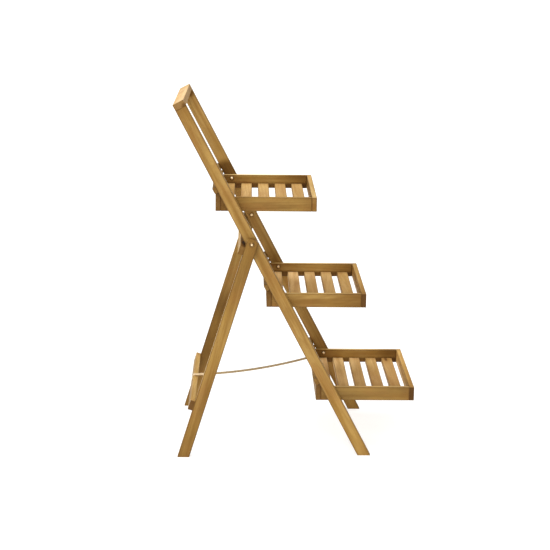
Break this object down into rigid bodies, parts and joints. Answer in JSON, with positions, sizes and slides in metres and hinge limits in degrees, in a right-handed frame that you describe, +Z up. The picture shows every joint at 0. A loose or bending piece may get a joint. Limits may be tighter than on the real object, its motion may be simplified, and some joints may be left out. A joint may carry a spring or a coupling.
{
  "type": "folding plant ladder stand",
  "caption": "Folding wooden ladder stand with slatted trays that tilt flat, a hinged rear frame and a webbing strap that sets its spread.",
  "frame": {"origin": "on the floor, at the middle of the open stand's length and width", "axes": "+X points to the front, where the trays stand out; +Y is to the right of someone who looks at that front, across the stand; +Z is up. The half with -Y is called left."},
  "size_m": [0.734, 0.5264, 1.0867],
  "materials": {
    "wood": "oiled satin",
    "slat_wood": "oiled satin",
    "pale_wood": "oiled satin",
    "webbing": "woven matte",
    "steel": "yellow zinc plated"
  },
  "bodies": {
    "front_frame": {"rail_left": "wood", "rail_right": "wood", "top_board": "pale_wood", "stop_batten_bottom": "wood", "stop_batten_middle": "wood", "stop_batten_top": "wood", "tray_pivot_screws": "steel", "tray_pivot_washers": "steel", "leg_pivot_bolts": "steel", "leg_pivot_nuts": "steel", "leg_pivot_washers": "steel", "top_board_screws": "steel", "stop_batten_screws": "steel", "spread_strap": "webbing", "strap_screw_front": "steel"},
    "rear_frame": {"leg_left": "wood", "leg_right": "wood", "rear_batten_upper": "wood", "rear_batten_lower": "wood", "rear_batten_screws": "steel", "strap_screw_rear": "steel"},
    "tray_bottom": {"tray_bottom_side_left": "wood", "tray_bottom_side_right": "wood", "tray_bottom_front": "wood", "tray_bottom_back": "wood", "tray_bottom_slat_1": "slat_wood", "tray_bottom_slat_2": "slat_wood", "tray_bottom_slat_3": "slat_wood", "tray_bottom_slat_4": "slat_wood", "tray_bottom_slat_5": "slat_wood", "tray_bottom_screws": "steel"},
    "tray_middle": {"tray_middle_side_left": "wood", "tray_middle_side_right": "wood", "tray_middle_front": "wood", "tray_middle_back": "wood", "tray_middle_slat_1": "slat_wood", "tray_middle_slat_2": "slat_wood", "tray_middle_slat_3": "slat_wood", "tray_middle_slat_4": "slat_wood", "tray_middle_slat_5": "slat_wood", "tray_middle_screws": "steel"},
    "tray_top": {"tray_top_side_left": "wood", "tray_top_side_right": "wood", "tray_top_front": "wood", "tray_top_back": "wood", "tray_top_slat_1": "slat_wood", "tray_top_slat_2": "slat_wood", "tray_top_slat_3": "slat_wood", "tray_top_slat_4": "slat_wood", "tray_top_slat_5": "slat_wood", "tray_top_screws": "steel"}
  },
  "joints": [
    {"name": "rear_frame_fold", "type": "hinge", "parent": "front_frame", "child": "rear_frame", "pos_m": [-0.13358, 0, 0.66392], "axis": [0, -1, 0], "range_deg": [0, 40], "deforming": ["spread_strap"]},
    {"name": "tray_bottom_tilt", "type": "hinge", "parent": "front_frame", "child": "tray_bottom", "pos_m": [0.10947, 0, 0.20196], "axis": [0, -1, 0], "range_deg": [0, 124]},
    {"name": "tray_middle_tilt", "type": "hinge", "parent": "front_frame", "child": "tray_middle", "pos_m": [-0.04465, 0, 0.49489], "axis": [0, -1, 0], "range_deg": [0, 119.5]},
    {"name": "tray_top_tilt", "type": "hinge", "parent": "front_frame", "child": "tray_top", "pos_m": [-0.19876, 0, 0.78782], "axis": [0, -1, 0], "range_deg": [0, 124]}
  ]
}
